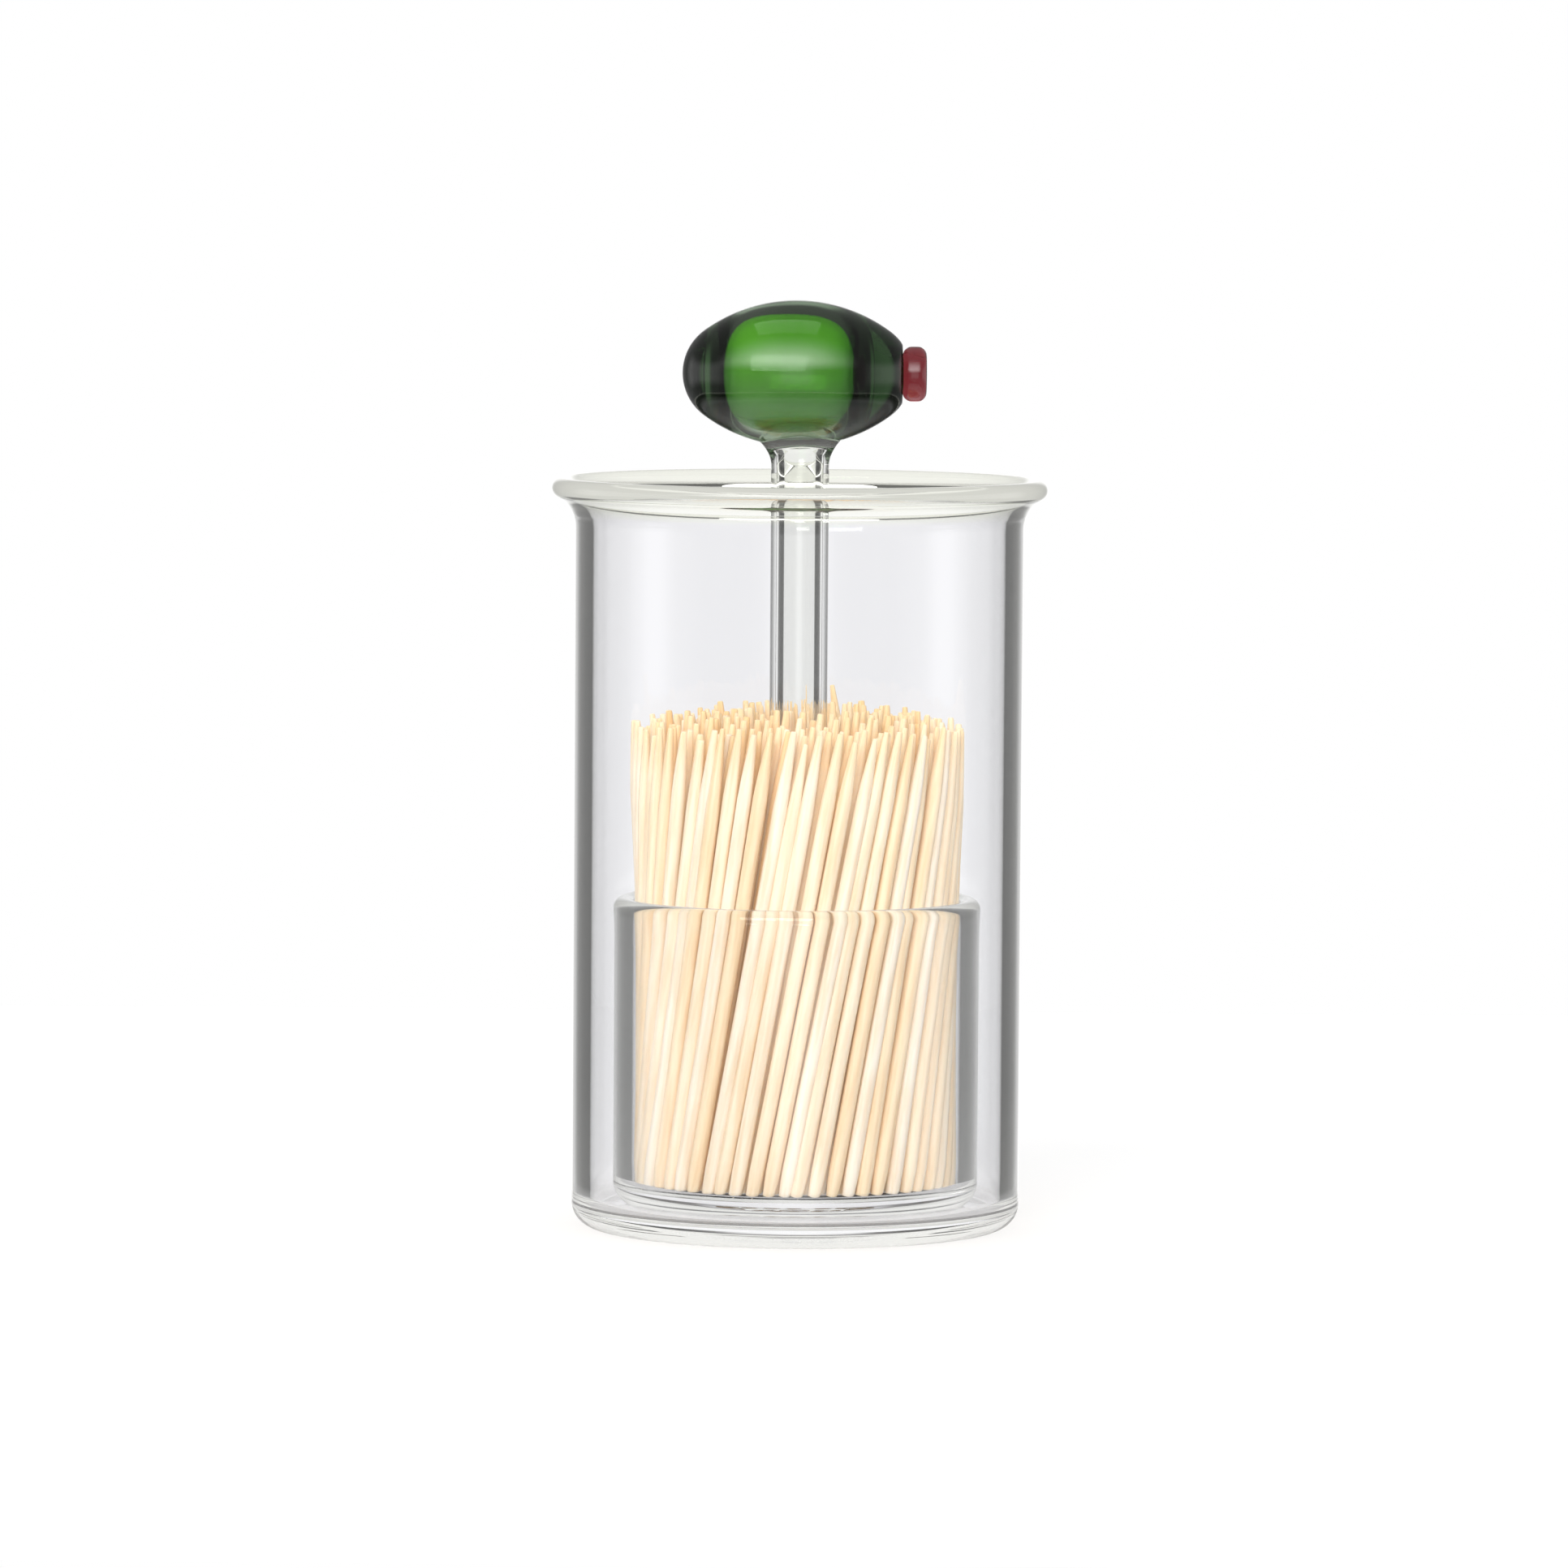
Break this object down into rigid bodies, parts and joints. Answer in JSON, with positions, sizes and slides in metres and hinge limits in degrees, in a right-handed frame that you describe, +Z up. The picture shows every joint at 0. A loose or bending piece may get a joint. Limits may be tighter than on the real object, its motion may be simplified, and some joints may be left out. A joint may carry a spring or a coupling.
{
  "type": "toothpick holder",
  "caption": "Flared clear glass jar with a loose inner glass cup of toothpicks, lifted out by a hollow glass stem topped with a green glass olive and red pimento.",
  "frame": {"origin": "centre of the jar's underside, on the surface that it stands on", "axes": "+Z up along the jar's axis, +X towards the olive's pimento end"},
  "size_m": [0.0692, 0.0692, 0.1297],
  "materials": {
    "jar_glass": "clear borosilicate glass, fire-polished rim",
    "cup_glass": "clear borosilicate glass, fire-polished rim",
    "stem_glass": "clear hollow glass tube",
    "olive_glass": "glossy green glass, hollow",
    "pimento_glass": "glossy red glass",
    "pick_wood": "raw bamboo"
  },
  "bodies": {
    "jar": {"glass_jar": "jar_glass"},
    "cup": {"pick_cup": "cup_glass", "handle_stem": "stem_glass", "olive": "olive_glass", "pimento": "pimento_glass", "toothpicks_outer": "pick_wood", "toothpicks_second": "pick_wood", "toothpicks_third": "pick_wood", "toothpicks_inner": "pick_wood"},
    "loose_pick": {"drawn_toothpick": "pick_wood"}
  },
  "joints": [
    {"name": "cup_lift", "type": "slide", "parent": "jar", "child": "cup", "axis": [0, 0, 1], "range_m": [0, 0.11]},
    {"name": "pick_draw", "type": "slide", "parent": "cup", "child": "loose_pick", "axis": [-0.1457, 0.0943, 0.9848], "range_m": [0, 0.105]}
  ]
}
